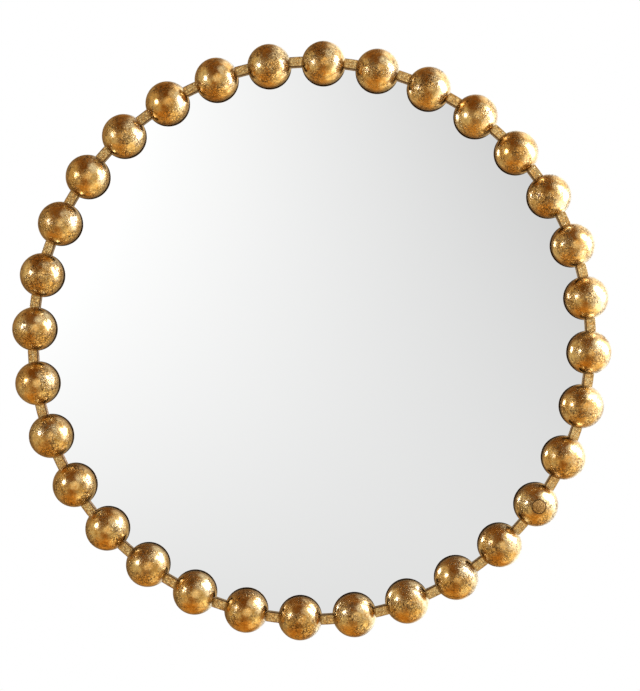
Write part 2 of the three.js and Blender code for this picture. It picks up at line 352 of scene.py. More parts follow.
def iron_paint_material():
    """Dark brown-black paint on iron, with brush marks and small chips."""
    material, nodes, shader, place = new_material("iron_paint")
    cloud = nodes.noise(place, 90, 4, 0.6)
    chips = nodes.between(nodes.noise(place, 260, 4, 0.7), 0.66, 0.7)
    tone = nodes.mix(cloud, (0.018, 0.014, 0.011, 1), (0.045, 0.034, 0.026, 1))
    nodes.feed(shader.inputs["Base Color"], nodes.mix(chips, tone, (0.14, 0.1, 0.07, 1)))
    nodes.feed(shader.inputs["Roughness"], nodes.between(cloud, 0.3, 0.7, 0.38, 0.62))
    nodes.feed(shader.inputs["Normal"], nodes.bump(nodes.noise(place, 400, 3), 0.25, 0.0004))
    return material


def foam_tape_material():
    """Black foam tape with fine open cells."""
    material, nodes, shader, place = new_material("foam_tape", roughness=0.9)
    cells = nodes.noise(place, 1400, 2)
    tone = nodes.mix(cells, (0.015, 0.015, 0.015, 1), (0.04, 0.04, 0.038, 1))
    nodes.feed(shader.inputs["Base Color"], tone)
    nodes.feed(shader.inputs["Normal"], nodes.bump(cells, 0.5, 0.0003))
    return material


def fibreboard_material():
    """Bare fibreboard: soft brown with fine pale and dark fibres."""
    material, nodes, shader, place = new_material("fibreboard", roughness=0.8)
    cloud = nodes.noise(place, 9, 5, 0.6)
    tone = nodes.mix(nodes.between(cloud, 0.35, 0.65), (0.34, 0.215, 0.12, 1), (0.43, 0.285, 0.165, 1))
    flecks = nodes.noise(nodes.shaken(place, 90, 0.01), 700, 3, 0.7)
    tone = nodes.mix(nodes.between(flecks, 0.56, 0.7), tone, (0.58, 0.42, 0.27, 1))
    tone = nodes.mix(nodes.between(flecks, 0.44, 0.32), tone, (0.17, 0.095, 0.05, 1))
    nodes.feed(shader.inputs["Base Color"], tone)
    nodes.feed(shader.inputs["Normal"], nodes.bump(flecks, 0.25, 0.0004))
    return material


def zinc_material():
    """Zinc-plated steel with a faint spangle."""
    material, nodes, shader, place = new_material("zinc_plate", metallic=1.0)
    spangle = nodes.noise(place, 260, 3, 0.6)
    nodes.feed(shader.inputs["Base Color"], nodes.mix(spangle, (0.46, 0.47, 0.48, 1), (0.72, 0.72, 0.7, 1)))
    nodes.feed(shader.inputs["Roughness"], nodes.between(spangle, 0.3, 0.7, 0.24, 0.42))
    nodes.feed(shader.inputs["Normal"], nodes.bump(nodes.noise(place, 1500, 2), 0.12, 0.0002))
    return material


def rubber_material():
    """Black rubber with a little dust."""
    material, nodes, shader, place = new_material("black_rubber", roughness=0.75)
    dust = nodes.noise(place, 500, 4, 0.7)
    tone = nodes.mix(dust, (0.012, 0.012, 0.012, 1), (0.045, 0.044, 0.042, 1))
    nodes.feed(shader.inputs["Base Color"], tone)
    nodes.feed(shader.inputs["Normal"], nodes.bump(dust, 0.3, 0.0003))
    return material


gilt_ball = gilt_ball_material("gilt_ball")
gilt_plugged_ball = gilt_ball_material("gilt_plugged_ball", groove_shade_at=plug_middle)
gilt_band = gilt_band_material()
gilt_plug = gilt_plug_material()
dark_ground = ground_and_shade_material()
mirror_face = mirror_material()
glass_edge = glass_edge_material()
mirror_paint = mirror_paint_material()
iron_paint = iron_paint_material()
foam_tape = foam_tape_material()
fibreboard = fibreboard_material()
zinc_plate = zinc_material()
black_rubber = rubber_material()

# ---------------------------------------------------------------- geometry-node trees

socket_kinds = {float: "Float", int: "Int"}


def new_tree(name, **inputs):
    """A geometry tree with named inputs; a value gives a default, and a name a kind such as Object."""
    tree = bpy.data.node_groups.new(name, "GeometryNodeTree")
    tree.interface.new_socket("Geometry", in_out="INPUT", socket_type="NodeSocketGeometry")
    for key, value in inputs.items():
        kind = value if isinstance(value, str) else socket_kinds[type(value)]
        socket = tree.interface.new_socket(key, in_out="INPUT", socket_type="NodeSocket" + kind)
        if not isinstance(value, str):
            socket.default_value = value
    tree.interface.new_socket("Geometry", in_out="OUTPUT", socket_type="NodeSocketGeometry")
    return tree, Nodes(tree), tree.nodes.new("NodeGroupInput").outputs


def end_tree(nodes, geometry, material):
    """What the tree made, as real geometry with its material."""
    whole = nodes.add("GeometryNodeRealizeInstances", geometry).outputs[0]
    return nodes.add("GeometryNodeSetMaterial", whole, inputs={"Material": material}).outputs[0]


def grown(tree, name, start=None, **inputs):
    """The mesh that a tree makes from the start mesh with these inputs, as a plain mesh."""
    holder = bpy.data.objects.new(name, start or bpy.data.meshes.new(name))
    bpy.context.scene.collection.objects.link(holder)
    modifier = holder.modifiers.new("shape", "NODES")
    modifier.node_group = tree
    sockets = {s.name: s.identifier for s in tree.interface.items_tree if s.in_out == "INPUT"}
    for key, value in inputs.items():
        modifier[sockets[key]] = value
    return settled(holder)


def settled(holder):
    """The holder's finished mesh; the holder itself goes."""
    evaluated = holder.evaluated_get(bpy.context.evaluated_depsgraph_get())
    mesh = bpy.data.meshes.new_from_object(evaluated)
    bpy.data.objects.remove(holder)
    return mesh


def half_ball_tree():
    """A half-ball with a flat back at Back, slightly uneven, set at its angle on the ring."""
    tree, nodes, given = new_tree("half_ball", Radius=0.03, Bore=0.0, Depth=0.01, Unevenness=0.0001,
                                  Seed=0, Pitch=0.4, Back=0.0, Angle=0.0, Finish="Material",
                                  Ground="Material")
    around, along = 145, 65
    back_share = 0.14  # of the rows, for the flat back
    grid = nodes.add("GeometryNodeMeshGrid", 1.0, 1.0, around, along)
    uv = nodes.add("ShaderNodeSeparateXYZ", grid.outputs["UV Map"]).outputs
    turn = nodes.math("MULTIPLY", uv[0], 2 * math.pi)
    rise = nodes.math("MINIMUM", nodes.math("DIVIDE", uv[1], 1 - back_share), 1.0)
    rising = nodes.math("MULTIPLY", rise, math.pi / 2)
    flat = nodes.math("DIVIDE", nodes.math("SUBTRACT", uv[1], 1 - back_share), back_share)
    inwards = nodes.math("SUBTRACT", 1.0, nodes.math("MAXIMUM", flat, 0.0))
    across = nodes.math("MULTIPLY", nodes.math("SINE", rising), inwards)
    across = nodes.math("MULTIPLY", across, given["Radius"])
    front = nodes.math("MULTIPLY", given["Radius"], -1.0)
    depth = nodes.math("MULTIPLY", nodes.math("COSINE", rising), front)
    spot = nodes.xyz(nodes.math("MULTIPLY", across, nodes.math("SINE", turn)), depth,
                     nodes.math("MULTIPLY", across, nodes.math("COSINE", turn)))
    ball = nodes.add("GeometryNodeSetPosition", grid.outputs[0], inputs={"Position": spot}).outputs[0]
    ball = nodes.add("GeometryNodeMergeByDistance", ball, inputs={"Distance": 1e-6}).outputs[0]
    ball = uneven(nodes, ball, given)
    bored = bored_ball(nodes, ball, given)
    has_bore = nodes.add("FunctionNodeCompare", data_type="FLOAT", operation="GREATER_THAN",
                         inputs={0: given["Bore"], 1: 0.0}).outputs[0]
    shape = nodes.add("GeometryNodeSwitch", has_bore, ball, bored, input_type="GEOMETRY").outputs[0]
    place = nodes.xyz(0.0, given["Back"], given["Pitch"])
    shape = nodes.add("GeometryNodeTransform", shape, inputs={"Translation": place}).outputs[0]
    turned_by = nodes.add("FunctionNodeEulerToRotation", nodes.xyz(0.0, given["Angle"], 0.0)).outputs[0]
    shape = nodes.add("GeometryNodeTransform", shape, inputs={"Rotation": turned_by}).outputs[0]
    whole = end_tree(nodes, shape, given["Finish"])
    # the flat back gets the near-black material, which is painted shade
    facing = nodes.add("ShaderNodeSeparateXYZ", nodes.add("GeometryNodeInputNormal").outputs[0]).outputs[1]
    is_back = nodes.add("FunctionNodeCompare", data_type="FLOAT", operation="GREATER_THAN",
                        inputs={0: facing, 1: 0.9}).outputs[0]
    whole = nodes.add("GeometryNodeSetMaterial", whole,
                      inputs={"Selection": is_back, "Material": given["Ground"]}).outputs[0]
    nodes.add("NodeGroupOutput", whole)
    return tree


def pushed(nodes, shape, amount):
    """The shape with each point moved along its normal by the amount."""
    normal = nodes.add("GeometryNodeInputNormal").outputs[0]
    shift = nodes.add("ShaderNodeVectorMath", normal, operation="SCALE", inputs={"Scale": amount}).outputs[0]
    return nodes.add("GeometryNodeSetPosition", shape, inputs={"Offset": shift}).outputs[0]


def uneven(nodes, ball, given):
    """The ball with shallow hollows pressed into its round side."""
    where = nodes.add("GeometryNodeInputPosition").outputs[0]
    seed = nodes.xyz(given["Seed"], 0.0, 0.0)
    dents = nodes.noise(nodes.vector("ADD", where, seed), 75, 3, 0.55)
    front = nodes.between(nodes.add("ShaderNodeSeparateXYZ", where).outputs[1], -0.004, -0.0005, -1.0, 0.0)
    push = nodes.math("MULTIPLY", nodes.math("MULTIPLY", dents, front), given["Unevenness"])
    return pushed(nodes, ball, push)


def bored_ball(nodes, ball, given):
    """The ball with a round bore from the front, Depth below the rim of the bore."""
    drill = nodes.add("GeometryNodeMeshCylinder", inputs={"Vertices": 96, "Radius": given["Bore"],
                                                          "Depth": 0.03}).outputs[0]
    upright = nodes.add("FunctionNodeEulerToRotation", (math.pi / 2, 0.0, 0.0)).outputs[0]
    drop = nodes.math("SUBTRACT", nodes.math("POWER", given["Radius"], 2.0),
                      nodes.math("POWER", given["Bore"], 2.0))
    rim = nodes.math("MULTIPLY", nodes.math("SQRT", drop), -1.0)
    middle = nodes.math("ADD", rim, nodes.math("SUBTRACT", given["Depth"], 0.015))
    drill = nodes.add("GeometryNodeTransform", drill, inputs={"Translation": nodes.xyz(0.0, middle, 0.0),
                                                              "Rotation": upright}).outputs[0]
    cut = nodes.add("GeometryNodeMeshBoolean", ball, operation="DIFFERENCE")
    nodes.feed(cut.inputs["Mesh 2"], drill)
    return cut.outputs[0]


def rolled_bar_tree():
    """A flat bar rolled into a hoop in the X-Z plane, with rounded corners and a rough skin."""
    tree, nodes, given = new_tree("rolled_bar", Radius=0.4, Wide=0.01, Deep=0.005, Middle=0.0,
                                  Corner=0.0005, Skin=0.0001, Steps=1600, Section=40, Finish="Material")
    path = nodes.add("GeometryNodeCurvePrimitiveCircle", mode="RADIUS",
                     inputs={"Resolution": given["Steps"], "Radius": given["Radius"]}).outputs[0]
    section = nodes.add("GeometryNodeCurvePrimitiveQuadrilateral", mode="RECTANGLE",
                        inputs={"Width": given["Wide"], "Height": given["Deep"]}).outputs[0]
    section = nodes.add("GeometryNodeFilletCurve", section, mode="POLY",
                        inputs={"Count": 3, "Radius": given["Corner"], "Limit Radius": True}).outputs[0]
    section = nodes.add("GeometryNodeResampleCurve", section, mode="COUNT",
                        inputs={"Count": given["Section"]}).outputs[0]
    bar = nodes.add("GeometryNodeCurveToMesh", path, section).outputs[0]
    where = nodes.add("GeometryNodeInputPosition").outputs[0]
    rough = nodes.math("ADD", nodes.noise(where, 330, 3, 0.6), nodes.noise(where, 45, 2, 0.5))
    push = nodes.math("MULTIPLY", rough, nodes.math("MULTIPLY", given["Skin"], -1.0))
    bar = pushed(nodes, bar, push)
    upright = nodes.add("FunctionNodeEulerToRotation", (math.pi / 2, 0.0, 0.0)).outputs[0]
    place = nodes.xyz(0.0, given["Middle"], 0.0)
    bar = nodes.add("GeometryNodeTransform", bar, inputs={"Translation": place,
                                                          "Rotation": upright}).outputs[0]
    nodes.add("NodeGroupOutput", end_tree(nodes, bar, given["Finish"]))
    return tree


def set_out_tree():
    """A copy of one piece on each point of the start mesh, each turned by its own angle about Y."""
    tree, nodes, given = new_tree("set_out", Piece="Object", Seed=0, Finish="Material")
    copied = nodes.add("GeometryNodeObjectInfo", inputs={"Object": given["Piece"]}).outputs["Geometry"]
    angle = nodes.add("FunctionNodeRandomValue", data_type="FLOAT",
                      inputs={2: 0.0, 3: 2 * math.pi, "Seed": given["Seed"]}).outputs[1]
    turned_by = nodes.add("FunctionNodeEulerToRotation", nodes.xyz(0.0, angle, 0.0)).outputs[0]
    spread = nodes.add("GeometryNodeInstanceOnPoints", given["Geometry"],
                       inputs={"Instance": copied, "Rotation": turned_by}).outputs[0]
    nodes.add("NodeGroupOutput", end_tree(nodes, spread, given["Finish"]))
    return tree


# ---------------------------------------------------------------- mesh helpers


def mesh_from(shape, name):
    bmesh.ops.recalc_face_normals(shape, faces=shape.faces)
    mesh = bpy.data.meshes.new(name)
    shape.to_mesh(mesh)
    shape.free()
    return mesh


def turned(name, profile, segments=96):
    """A solid turned about the Y axis from (radius, y) points."""
    shape = bmesh.new()
    rows = []
    for radius, y in profile:
        if radius < 1e-6:
            rows.append([shape.verts.new((0, y, 0))] * segments)
            continue
        angles = [2 * math.pi * i / segments for i in range(segments)]
        rows.append([shape.verts.new((radius * math.sin(a), y, radius * math.cos(a))) for a in angles])
    for one, two in zip(rows, rows[1:]):
        for i in range(segments):
            j = (i + 1) % segments
            corners = list(dict.fromkeys((one[i], one[j], two[j], two[i])))
            shape.faces.new(corners)
    return mesh_from(shape, name)


def plate(name, outline, front, back):
    """A plate with an outline of (x, z) points, standing in Y from front to back."""
    shape = bmesh.new()
    face = shape.faces.new([shape.verts.new((x, front, z)) for x, z in outline])
    raised = bmesh.ops.extrude_face_region(shape, geom=[face])["geom"]
    bmesh.ops.translate(shape, verts=[v for v in raised if isinstance(v, bmesh.types.BMVert)],
                        vec=(0, back - front, 0))
    return mesh_from(shape, name)


def arc(middle, radius, start, end, steps):
    """Points on an arc, from start to end, in radians."""
    angles = [start + (end - start) * i / steps for i in range(steps + 1)]
    return [(middle[0] + radius * math.cos(a), middle[1] + radius * math.sin(a)) for a in angles]


def with_modifier(mesh, kind, **settings):
    """The mesh as the modifier leaves it."""
    holder = bpy.data.objects.new(mesh.name, mesh)
    bpy.context.scene.collection.objects.link(holder)
    modifier = holder.modifiers.new(kind.lower(), kind)
    for key, value in settings.items():
        setattr(modifier, key, value)
    return settled(holder)


def softened(mesh, width, segments=2, flat_area=1e-5):
    """The mesh with its sharp edges rounded; its small faces are smooth, its large ones flat."""
    rounded = with_modifier(mesh, "BEVEL", width=width, segments=segments, limit_method="ANGLE",
                            angle_limit=math.radians(35))
    for face in rounded.polygons:
        face.use_smooth = face.area < flat_area
    return rounded


def cut(mesh, other, operation="DIFFERENCE"):
    """mesh less other, or joined with it."""
    cutter = bpy.data.objects.new("cutter", other)
    bpy.context.scene.collection.objects.link(cutter)
    result = with_modifier(mesh, "BOOLEAN", operation=operation, solver="EXACT", object=cutter)
    bpy.data.objects.remove(cutter)
    return result


def moved(mesh, matrix):
    mesh.transform(matrix)
    return mesh


def joined(name, meshes):
    shape = bmesh.new()
    for mesh in meshes:
        shape.from_mesh(mesh)
    return mesh_from(shape, name)


def holes(name, places, radius, low, high):
    """Cylinders along Y, for cutting."""
    pin = [(0, low), (radius, low), (radius, high), (0, high)]
    return joined(name, [moved(turned(name, pin, 32), Matrix.Translation((x, 0, z))) for x, z in places])


def on_ring(angle, radius):
    """From a local frame with +Z outwards to a place on the ring, clockwise from the top."""
    return Matrix.Rotation(angle, 4, "Y") @ Matrix.Translation((0, 0, radius))


def piece(name, mesh, body, slot, nodes, *materials):
    """A finished piece at the origin that rides on a body and stands for CAD nodes."""
    for material in materials:
        mesh.materials.append(material)
    made = bpy.data.objects.new(name, mesh)
    bpy.context.scene.collection.objects.link(made)
    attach(made, body)
    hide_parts(*nodes)
    return made


# ---------------------------------------------------------------- the ring of half-balls


def make_balls():
    tree = half_ball_tree()
    for i, name in enumerate(ball_names):
        bored = plug_name.startswith(name)
        mesh = grown(tree, name, Radius=ball_radius, Bore=plug_radius + fit_gap if bored else 0.0,
                     Depth=plug_high.y - plug_low.y + fit_gap, Unevenness=0.00035, Seed=7 * i + 3,
                     Pitch=pitch_radius, Back=ball_back, Angle=i * ball_turn,
                     Finish=gilt_plugged_ball if bored else gilt_ball, Ground=dark_ground)
        piece(name + "_gilt", softened(mesh, 0.0007), "mirror", "gilt_ball", [name])


def make_plug():
    profile = [(0, plug_low.y), (plug_radius, plug_low.y), (plug_radius, plug_high.y), (0, plug_high.y)]
    mesh = moved(turned("plug", profile), Matrix.Translation((plug_middle.x, 0, plug_middle.z)))
    piece("ball_plug_gilt", softened(mesh, 0.0004), "mirror", "gilt_plug", [plug_name], gilt_plug)


# ---------------------------------------------------------------- band and rim hoop


def lug_outline():
    """A lug in its local frame, rounded at its two outer corners."""
    half, corner = lug_width / 2, lug_corner
    root, tip = -lug_length / 2 - hoop_wall / 2, lug_length / 2
    right = arc((half - corner, tip - corner), corner, 0, math.pi / 2, 8)
    left = arc((-half + corner, tip - corner), corner, math.pi / 2, math.pi, 8)
    return [(half, root)] + right + left + [(-half, root)]


def make_hoops():
    tree = rolled_bar_tree()
    band = grown(tree, "front_band", Radius=band_high.x - band_width / 2, Wide=band_width,
                 Deep=band_high.y - band_low.y, Middle=(band_low.y + band_high.y) / 2, Corner=0.0006,
                 Skin=0.0002, Steps=1600, Section=44, Finish=gilt_band)
    piece("front_band_gilt", softened(band, 0.0001), "mirror", "gilt_band", ["front_band"])
    outer = band_high.x
    hoop = grown(tree, "rim_hoop", Radius=outer - hoop_wall / 2, Wide=hoop_wall,
                 Deep=hoop_high.y - hoop_low.y, Middle=(hoop_low.y + hoop_high.y) / 2, Corner=0.0004,
                 Skin=0.00008, Steps=960, Section=26, Finish=iron_paint)
    pivot = outer + lug_length / 2
    places = [on_ring(angle, pivot) for angle in lug_angles]
    lug_front = hoop_high.y - hoop_wall
    lugs = [moved(plate("lug", lug_outline(), lug_front, hoop_high.y), place) for place in places]
    spots = [(place.translation.x, place.translation.z) for place in places]
    hoop = cut(hoop, softened(joined("lugs", lugs), 0.0004), "UNION")
    hoop = cut(hoop, holes("lug_holes", spots, shank_radius + fit_gap, hoop_low.y, hoop_high.y + 0.01))
    piece("rim_hoop_iron", hoop, "mirror", "rim_iron", ["rim_hoop"], iron_paint)


# ---------------------------------------------------------------- glass and board


def glass_side(face):
    """0 for the mirrored front, 1 for the edge, 2 for the painted back."""
    if face.normal.y < -0.99:
        return 0
    return 2 if face.normal.y > 0.99 else 1


def make_glass():
    radius = glass_high.x
    profile = [(0, glass_low.y), (radius, glass_low.y), (radius, glass_high.y), (0, glass_high.y)]
    mesh = softened(turned("glass", profile, 384), 0.0005)
    made = piece("mirror_glass_silvered", mesh, "mirror", "mirror", ["mirror_glass"],
                 mirror_face, glass_edge, mirror_paint)
    for face in made.data.polygons:
        face.material_index = glass_side(face)


def screw_places(names):
    boxes = [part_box(name) for name in names]
    return [((low + high) / 2, low.y, high.y) for low, high in boxes]


def make_board():
    radius = board_high.x
    profile = [(0, board_low.y), (radius, board_low.y), (radius, board_high.y), (0, board_high.y)]
    spots = [(middle.x, middle.z) for middle, tip, top in screw_places(hanger_screws)]
    deep = min(tip for middle, tip, top in screw_places(hanger_screws)) - fit_gap
    drill = holes("screw_holes", spots, shank_radius + fit_gap, deep, 0)
    drilled = cut(turned("board", profile, 384), drill)
    piece("backing_board_fibre", softened(drilled, 0.0006), "mirror", "backing_board", ["backing_board"],
          fibreboard)


# ---------------------------------------------------------------- hardware on the back

hanger_screws = sorted(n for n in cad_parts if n.startswith("hanger_screw_"))
pivot_screws = sorted(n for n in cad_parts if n.startswith("turn_button_screw_"))
bumper_names = sorted(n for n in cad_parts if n.startswith("bumper_"))


def screw(shank_length):
    """A pan-head screw with a cross recess; y = 0 is under its head, which faces the wall."""
    dome = arc((0, head_height - head_dome), head_dome, math.radians(46), math.pi / 2, 6)
    profile = [(0, -shank_length), (0.0006, -shank_length), (shank_radius, -shank_length + 0.0025),
               (shank_radius, 0), (head_radius, 0), (head_radius, 0.0009)] + dome[:-1] + [(0, head_height)]
    body = turned("screw", profile, 48)
    half, reach = recess_half_width, recess_half_length
    for quarter in (0, math.pi / 2):
        wedge = plate("slot", [(-half, -reach), (half, -reach), (half, reach), (-half, reach)], 0.0, 0.003)
        for vertex in wedge.vertices:
            if vertex.co.y < 0.001:
                vertex.co.y = head_height - recess_depth
                vertex.co.z *= recess_taper
        body = cut(body, moved(wedge, Matrix.Rotation(quarter, 4, "Y")))
    return softened(body, 0.00012, 1)


def bumper(height, radius):
    """A moulded rubber foot with a shallow dimple in its face."""
    profile = [(0, -height), (radius, -height)]
    profile += arc((radius - foot_corner, -foot_corner), foot_corner, 0, math.pi / 2, 6)
    profile += [(dimple_radius, 0), (dimple_floor, -dimple_depth), (0, -dimple_depth)]
    return softened(turned("bumper", profile, 64), 0.0002)


def set_out(name, master, places, slot, nodes, material, seed):
    """One mesh of copies of the master, one at each place, each with its own turn about Y."""
    points = bpy.data.meshes.new(name + "_places")
    points.from_pydata([tuple(place) for place in places], [], [])
    pattern = bpy.data.objects.new(name + "_pattern", master)
    bpy.context.scene.collection.objects.link(pattern)
    mesh = grown(set_out_tree(), name, points, Piece=pattern, Seed=seed, Finish=material)
    bpy.data.objects.remove(pattern)
    piece(name, mesh, "mirror", slot, nodes)


def make_screws():
    for names, label, seed in ((hanger_screws, "hanger_screws", 4), (pivot_screws, "pivot_screws", 9)):
        found = screw_places(names)
        seats = [Vector((middle.x, top - head_height, middle.z)) for middle, tip, top in found]
        length = found[0][2] - head_height - found[0][1]
        set_out(label, screw(length), seats, "zinc_steel", names, zinc_plate, seed)


def make_bumpers():
    boxes = [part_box(name) for name in bumper_names]
    places = [Vector(((low.x + high.x) / 2, 0, (low.z + high.z) / 2)) for low, high in boxes]
    low, high = boxes[0]
    set_out("wall_bumpers", bumper(-low.y, 0.01), places, "rubber", bumper_names, black_rubber, 2)


def make_buttons():
    """The turn buttons: round-ended plates that lock the board in, each on its own body."""
    for i, angle in enumerate(lug_angles):
        name = "turn_button_%d" % (i + 1)
        low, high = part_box(name)
        pivot = band_high.x + lug_length / 2
        reach = pivot - (board_high.x - 0.012)
        half = button_half_width
        outline = arc((0, 0), half, 0, math.pi, 24)
        outline += arc((0, half - reach), half, math.pi, 2 * math.pi, 24)
        blank = plate(name, outline, low.y, high.y)
        drilled = cut(blank, holes(name, [(0, 0)], shank_radius + fit_gap, low.y - 0.01, 0.01))
        mesh = moved(softened(drilled, 0.0004), on_ring(angle, pivot))
        piece(name + "_zinc", mesh, name, "zinc_steel", [name], zinc_plate)


def strap_shape(low, high):
    """A strip rolled round the hinge line at its top, with the wire's bore inside the roll."""
    hinge_y, hinge_z = low.y + eye_radius, high.z - eye_radius
    outer, inner = eye_radius, eye_radius - strap_thickness
    rows = [((low.y, z), (low.y + strap_thickness, z)) for z in (low.z, (low.z + hinge_z) / 2, hinge_z)]
    steps = 40
    for i in range(1, steps + 1):
        a = math.pi - roll_angle * i / steps
        rows.append(tuple((hinge_y + r * math.cos(a), hinge_z + r * math.sin(a)) for r in (outer, inner)))
    shape = bmesh.new()
    grid = [[[shape.verts.new((x, y, z)) for y, z in row] for x in (low.x, high.x)] for row in rows]
    for one, two in zip(grid, grid[1:]):
        for side in (0, 1):
            shape.faces.new((one[side][0], one[side][1], two[side][1], two[side][0]))
            shape.faces.new((one[0][side], one[1][side], two[1][side], two[0][side]))
    for row in (grid[0], grid[-1]):
        shape.faces.new((row[0][0], row[0][1], row[1][1], row[1][0]))
    bmesh.ops.recalc_face_normals(shape, faces=shape.faces)
    corners = [e for e in shape.edges if all(abs(v.co.z - low.z) < 1e-6 for v in e.verts)
               and abs(e.verts[0].co.y - e.verts[1].co.y) > 1e-4]
    bmesh.ops.bevel(shape, geom=corners, offset=strap_corner, segments=6, profile=0.5, affect="EDGES")
    return mesh_from(shape, "strap")


def make_straps():
    for side in ("left", "right"):
        name = "hanger_strap_" + side
        low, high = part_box(name)
        found = screw_places([n for n in hanger_screws if side in n])
        spots = [(middle.x, middle.z) for middle, tip, top in found]
        drill = holes(name, spots, shank_radius + fit_gap, low.y - 0.01, 0.01)
        mesh = softened(cut(strap_shape(low, high), drill), 0.0002)
        piece(name + "_zinc", mesh, "mirror", "zinc_steel", [name], zinc_plate)


def ring_path(low, high):
    """The middle of the ring's wire: a straight bar on the hinge line and a round bow above it."""
    middle = (low.x + high.x) / 2
    bar = low.z + wire_radius
    leg = (high.x - low.x) / 2 - wire_radius
    bow = high.z - wire_radius - leg
    bend = wire_bend
    steps = 24
    path = [(middle + (leg - bend) * (2 * i / steps - 1), bar) for i in range(steps + 1)]
    path += arc((middle + leg - bend, bar + bend), bend, -math.pi / 2, 0, 14)[1:]
    path += arc((middle, bow), leg, 0, math.pi, 56)
    path += arc((middle - leg + bend, bar + bend), bend, math.pi, 1.5 * math.pi, 14)[:-1]
    return path


def wire(name, path, y, radius, sides=24):
    """A round wire along a closed path of (x, z) points in the plane at y."""
    shape = bmesh.new()
    rows = []
    count = len(path)
    turns = [2 * math.pi * k / sides for k in range(sides)]
    for i, (x, z) in enumerate(path):
        before, after = path[i - 1], path[(i + 1) % count]
        along = Vector((after[0] - before[0], 0, after[1] - before[1])).normalized()
        out = Vector((along.z, 0, -along.x))
        around = [math.cos(t) * out + Vector((0, math.sin(t), 0)) for t in turns]
        rows.append([shape.verts.new(Vector((x, y, z)) + radius * way) for way in around])
    for i in range(count):
        one, two = rows[i], rows[(i + 1) % count]
        for k in range(sides):
            shape.faces.new((one[k], one[(k + 1) % sides], two[(k + 1) % sides], two[k]))
    for face in shape.faces:
        face.smooth = True
    return mesh_from(shape, name)


def make_rings():
    for name in ("hanger_ring_left", "hanger_ring_right"):
        low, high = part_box(name)
        mesh = wire(name, ring_path(low, high), (low.y + high.y) / 2, wire_radius)
        piece(name + "_zinc", mesh, name, "zinc_steel", [name], zinc_plate)


make_camera()
make_balls()
make_plug()
make_hoops()
make_glass()
make_board()
make_screws()
make_bumpers()
make_buttons()
make_straps()
make_rings()
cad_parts["glazing_tape"].data.materials[0] = foam_tape

# ---------------------------------------------------------------- light


def lobe(nodes, direction, axis, inner, outer):
    """1 within inner degrees of an axis, 0 beyond outer."""
    along = nodes.vector("DOT_PRODUCT", direction, Vector(axis).normalized(), out=1)
    return nodes.between(along, math.cos(math.radians(outer)), math.cos(math.radians(inner)))


# the pale wall shown by the flat glass falls off from left to right, more so higher up
wall_level = 0.862  # straight ahead
wall_slope = 0.98  # fall for each unit aside
slope_gain = 5.3  # steeper by this for each unit up
wall_rise = 0.17
rise_loss = 2.15
wall_aside = 0.2  # beyond these the wall stays as it is
wall_lift = 0.16

# what the gloss sees of the studio, each patch over the one before: axis, inner, outer degrees, colour
room_patches = [
    ((-0.3, 1.0, 0.0), 30, 75, (0.27, 0.165, 0.07, 1)),  # behind
    ((0.72, 0.68, 0.1), 35, 58, (1.2, 1.2, 1.15, 1)),  # right, behind
    ((0.0, 0.0, -1.0), 25, 60, (0.55, 0.245, 0.043, 1)),  # below
    ((0.65, -0.1, -0.75), 12, 38, (1.15, 0.85, 0.4, 1)),  # below, at the right
    ((0.0, 0.0, 1.0), 30, 62, (0.26, 0.11, 0.026, 1)),  # above
    ((0.65, 0.3, 0.7), 12, 40, (1.3, 1.1, 0.85, 1)),  # above, at the right
    ((-0.1, -0.65, 0.75), 25, 45, (0.17, 0.065, 0.012, 1)),  # front, above
    ((0.52, -0.5, 0.69), 8, 32, (0.75, 0.68, 0.58, 1)),  # front, above, at the right
    ((-0.5, -0.8, 0.2), 8, 25, (0.26, 0.145, 0.06, 1)),  # front, left
    ((-0.1, -0.85, -0.5), 8, 30, (0.3, 0.13, 0.028, 1)),  # front, below
    ((0.17, -1.0, 0.05), 14, 29, (0.8, 0.59, 0.33, 1)),  # in front
]


def mirrored(nodes):
    """1 where the flat glass itself shows the world, 0 for all else."""
    seen = nodes.add("ShaderNodeLightPath").outputs
    return nodes.math("MULTIPLY", seen["Is Singular Ray"], nodes.math("LESS_THAN", seen["Ray Depth"], 2.5))


def pale_wall(nodes, side, height):
    """The level of the wall in front, from how far aside and how far up it is seen."""
    aside = nodes.math("MINIMUM", nodes.math("MAXIMUM", side, -wall_aside), wall_aside)
    lift = nodes.math("MINIMUM", nodes.math("MAXIMUM", height, -wall_lift), wall_lift)
    slope = nodes.math("ADD", nodes.math("MULTIPLY", lift, slope_gain), wall_slope)
    climb = nodes.math("SUBTRACT", wall_rise, nodes.math("MULTIPLY", lift, rise_loss))
    rise = nodes.math("MULTIPLY", climb, lift)
    return nodes.math("ADD", nodes.math("SUBTRACT", wall_level, nodes.math("MULTIPLY", slope, aside)), rise)


